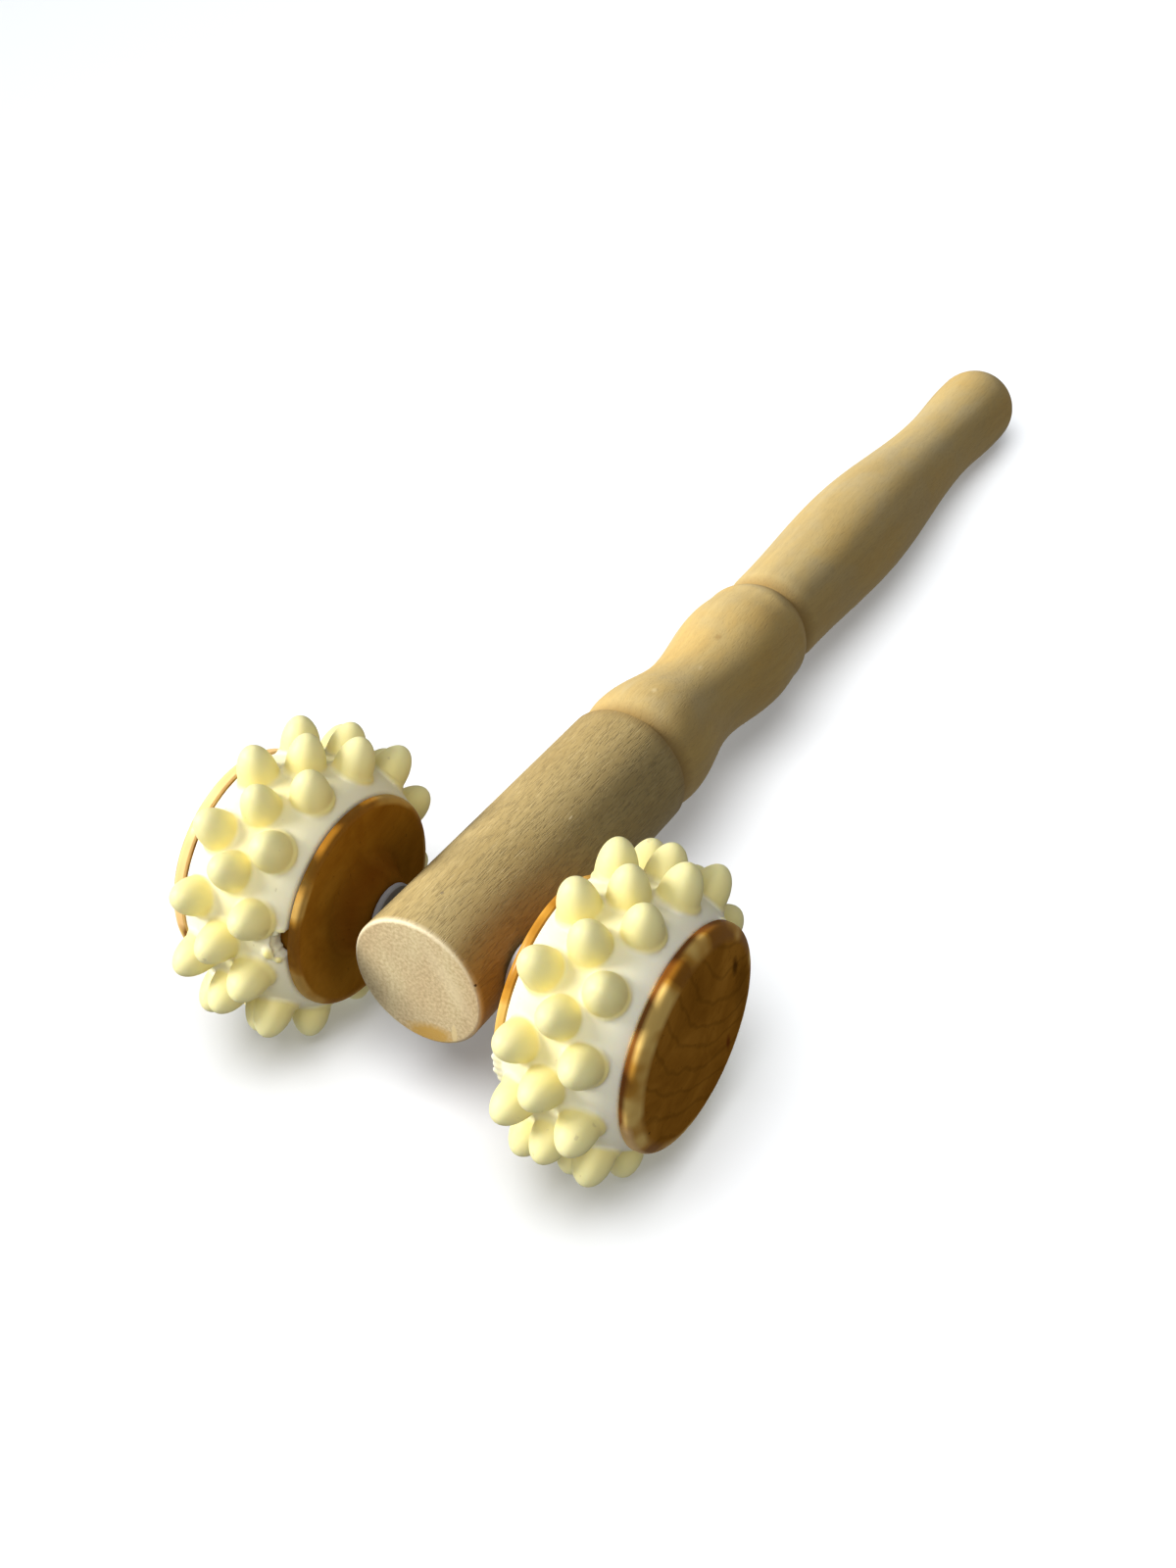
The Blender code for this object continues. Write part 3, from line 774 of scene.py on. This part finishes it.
# ---------------------------------------------------------------- rubber, nylon and steel
RUBBER_SPECK_CENTRE = (0.0328, -0.0090, 0.0440)
RUBBER_SPECK_SIZE = (0.0006, 0.0008, 0.0006)
TINTED_STATION = STUD_MIDDLE - 0.0020
TINT_REACH = 0.0165


def stud_share(tree, station):
    """How high above the sleeve's own surface a point is: 0 at the surface, 1 at a stud's tip."""
    share = compute(tree, "DIVIDE", compute(tree, "SUBTRACT", station, SLEEVE_MIDDLE), SLEEVE_HALF_WIDTH)
    share = compute(tree, "MINIMUM", compute(tree, "ABSOLUTE", share), 1.0)
    surface = compute(tree, "MULTIPLY_ADD", compute(tree, "POWER", share, CROWN_POWER), -SLEEVE_CROWN,
                      SLEEVE_EDGE_RADIUS + SLEEVE_CROWN)
    return compute(tree, "DIVIDE", compute(tree, "SUBTRACT", own_radius(tree), surface), STUD_HEIGHT)


def rubber_material():
    """Soft cream rubber: white at the sleeve's edges, yellower between the studs and in them."""
    material, tree, shader = new_material("cream_rubber_skin")
    station = own_axes(tree)["Z"]
    height = stud_share(tree, station)
    patches = own_noise(tree, (110, 110, 110), 2.0, offset=(0.1, 0.6, 0.3))
    tint = near(tree, station, TINTED_STATION, TINT_REACH)
    tint = times(tree, tint, rise(tree, patches, 0.30, 0.62, 0.85, 1.0))
    sleeve = mix_colour(tree, tint, (0.910, 0.900, 0.780), (0.880, 0.810, 0.440))
    studs = ramp(tree, height, (0.10, (0.880, 0.785, 0.345)), (0.45, (0.875, 0.800, 0.375)),
                 (0.90, (0.885, 0.835, 0.440)))
    tone = mix_colour(tree, rise(tree, height, 0.02, 0.13), sleeve, studs)
    tone = figure(tree, tone, 0.14, own_noise(tree, (120, 120, 120), 3.0), (0.3, 0.40), (0.7, 0.60))
    dirt = rise(tree, own_noise(tree, (420, 420, 420), 2.0, offset=(0.5, 0.2, 0.9)), 0.72, 0.76)
    tone = stain(tree, tone, dirt, 0.35, (0.50, 0.42, 0.22))
    speck = spot(tree, RUBBER_SPECK_CENTRE, RUBBER_SPECK_SIZE, 0.3)
    tone = stain(tree, tone, speck, 0.85, (0.05, 0.05, 0.04))
    grain = own_noise(tree, (1500, 1500, 1500), 3.0, 0.6)
    rough = compute(tree, "MULTIPLY_ADD", grain, 0.15, 0.42)
    relief = bump(tree, grain, 0.10, 0.00008)
    relief = bump(tree, own_noise(tree, (260, 260, 260), 2.0), 0.25, 0.00025, relief)
    finish_shader(tree, shader, tone, rough, relief)
    shader.inputs["Specular IOR Level"].default_value = 0.35
    shader.inputs["Subsurface Weight"].default_value = 0.35
    shader.inputs["Subsurface Radius"].default_value = (1.0, 0.80, 0.40)
    shader.inputs["Subsurface Scale"].default_value = 0.0013
    return material


def nylon_material():
    """Blue-grey nylon with faint marks along the axle."""
    material, tree, shader = new_material("grey_nylon")
    cloud = own_noise(tree, (300, 300, 300), 3.0)
    tone = ramp(tree, cloud, (0.3, (0.50, 0.53, 0.60)), (0.7, (0.60, 0.63, 0.69)))
    rough = compute(tree, "MULTIPLY_ADD", cloud, 0.2, 0.30)
    relief = bump(tree, own_noise(tree, (1200, 1200, 60)), 0.2, 0.00006)
    finish_shader(tree, shader, tone, rough, relief)
    shader.inputs["Specular IOR Level"].default_value = 0.3
    return material


def steel_material():
    """Bright drawn steel, its fine scratches running along the axle."""
    material, tree, shader = new_material("drawn_steel")
    shader.inputs["Metallic"].default_value = 1.0
    source = add_node(tree, "ShaderNodeTexCoord").outputs["Object"]
    along = add_node(tree, "ShaderNodeMapping", Vector=source, Scale=(400, 3000, 3000)).outputs["Vector"]
    scratches = noise(tree, along, 3.0)
    tone = ramp(tree, scratches, (0.3, (0.42, 0.42, 0.43)), (0.7, (0.60, 0.60, 0.61)))
    rough = compute(tree, "MULTIPLY_ADD", scratches, 0.25, 0.22)
    relief = bump(tree, scratches, 0.15, 0.00005)
    finish_shader(tree, shader, tone, rough, relief)
    return material


# ---------------------------------------------------------------- stage, light and camera
FLOOR_HALF_WIDTH = 4.0
LIT_POINT = Vector((0.0, -0.03, 0.03))
WARM = (1.0, 0.975, 0.92)
WHITE = (1.0, 1.0, 1.0)


def make_stage():
    shape = bmesh.new()
    bmesh.ops.create_grid(shape, x_segments=1, y_segments=1, size=FLOOR_HALF_WIDTH)
    floor = add_piece("floor", mesh_from("floor", shape))
    material, _, shader = new_material("pale_floor")
    shader.inputs["Base Color"].default_value = (0.90, 0.90, 0.905, 1.0)
    shader.inputs["Roughness"].default_value = 0.9
    shader.inputs["Specular IOR Level"].default_value = 0.1
    floor.data.materials.append(material)
    floor.visible_diffuse = floor.visible_glossy = False
    return floor


def area_light(name, location, size, power, colour, linked, state="INCLUDE"):
    """A soft round light that shines on the linked pieces alone, or on everything but them."""
    data = bpy.data.lights.new(name, "AREA")
    data.shape = "DISK"
    data.size = size
    data.energy = power
    data.color = colour
    light = bpy.data.objects.new(name, data)
    bpy.context.scene.collection.objects.link(light)
    light.location = location
    light.rotation_mode = "QUATERNION"
    light.rotation_quaternion = (LIT_POINT - Vector(location)).to_track_quat("-Z", "Y")
    receivers = bpy.data.collections.new(name + "_receivers")
    for piece in linked:
        receivers.objects.link(piece)
    for member in receivers.collection_objects:
        member.light_linking.link_state = state
    light.light_linking.receiver_collection = receivers
    return light


def make_sky():
    """A soft surround, white on the left and a darker warm grey on the right."""
    world = bpy.data.worlds.new("studio")
    world.use_nodes = True
    tree = world.node_tree
    direction = add_node(tree, "ShaderNodeTexCoord").outputs["Generated"]
    rightwards = add_node(tree, "ShaderNodeSeparateXYZ", Vector=direction).outputs["X"]
    share = compute(tree, "MULTIPLY_ADD", rightwards, 0.5, 0.5)
    sky = ramp(tree, share, (0.0, WHITE), (1.0, (0.58, 0.55, 0.48)))
    background = tree.nodes["Background"]
    tree.links.new(sky, background.inputs["Color"])
    background.inputs["Strength"].default_value = 0.43
    bpy.context.scene.world = world


def make_lights(floor, sleeves):
    """A window-like key from the left, lights of their own for the rubber, and two for the floor."""
    area_light("window_light", (-0.97, -0.57, 0.92), 0.45, 35.5, WARM, [floor] + sleeves, "EXCLUDE")
    area_light("rubber_light", (-0.95, -0.65, 0.75), 0.60, 20.0, WARM, sleeves)
    area_light("rubber_fill", (0.30, -0.80, 0.95), 0.50, 4.6, WHITE, sleeves)
    area_light("floor_light", (0.07, -0.38, 1.20), 1.00, 15.5, (0.97, 0.985, 1.0), [floor])
    fill = area_light("floor_fill", (-0.50, 1.20, 0.90), 1.0, 9.5, (0.76, 0.86, 1.0), [floor])
    fill.data.use_shadow = False


def make_camera():
    data = bpy.data.cameras.new("camera")
    data.sensor_width = 36.0
    data.lens = 47.83
    data.clip_start = 0.01
    camera = bpy.data.objects.new("camera", data)
    bpy.context.scene.collection.objects.link(camera)
    camera.location = (0.19723, -0.35971, 0.35651)
    camera.rotation_euler = (radians(47.56), radians(3.23), radians(31.36))
    bpy.context.scene.camera = camera
    view = bpy.context.scene.view_settings
    view.view_transform = "Standard"
    view.look = "None"


# ---------------------------------------------------------------- putting it together
def paint(piece, material):
    piece.data.materials.clear()
    piece.data.materials.append(material)


def dress(piece, material, body, node):
    """Give a made piece its material and let it take the place of the solid called node."""
    paint(piece, material)
    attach(piece, body)
    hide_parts(node)


def make_wheel(side, place, varnish, rubber):
    """One wheel's three pieces; its sleeve is handed back for the lights."""
    body = side + "_wheel"
    core = make_turned(side + "_turned_core", core_outline(), place)
    dress(core, varnish, body, side + "_wheel_core")
    cap = make_turned(side + "_turned_cap", cap_outline(), place, closed=False)
    dress(cap, varnish, body, side + "_wheel_cap")
    sleeve = make_sleeve(side, place)
    dress(sleeve, rubber, body, side + "_rubber_sleeve")
    return sleeve


def main():
    birch, varnish, rubber = birch_material(), varnish_material(), rubber_material()
    nylon, steel = nylon_material(), steel_material()
    dress(make_handle(), birch, "handle_body", "handle")
    sleeves = []
    for side, sign in SIDES:
        place = wheel_place(side, sign)
        sleeves.append(make_wheel(side, place, varnish, rubber))
        spacer = make_turned(side + "_nylon_spacer", spacer_outline(), place)
        dress(spacer, nylon, "handle_body", side + "_spacer_washer")
        paint(frame["nodes"][side + "_thrust_washer"], steel)
        paint(frame["nodes"][side + "_retaining_clip"], steel)
    paint(frame["nodes"]["axle"], steel)
    make_lights(make_stage(), sleeves)
    make_sky()
    make_camera()


main()
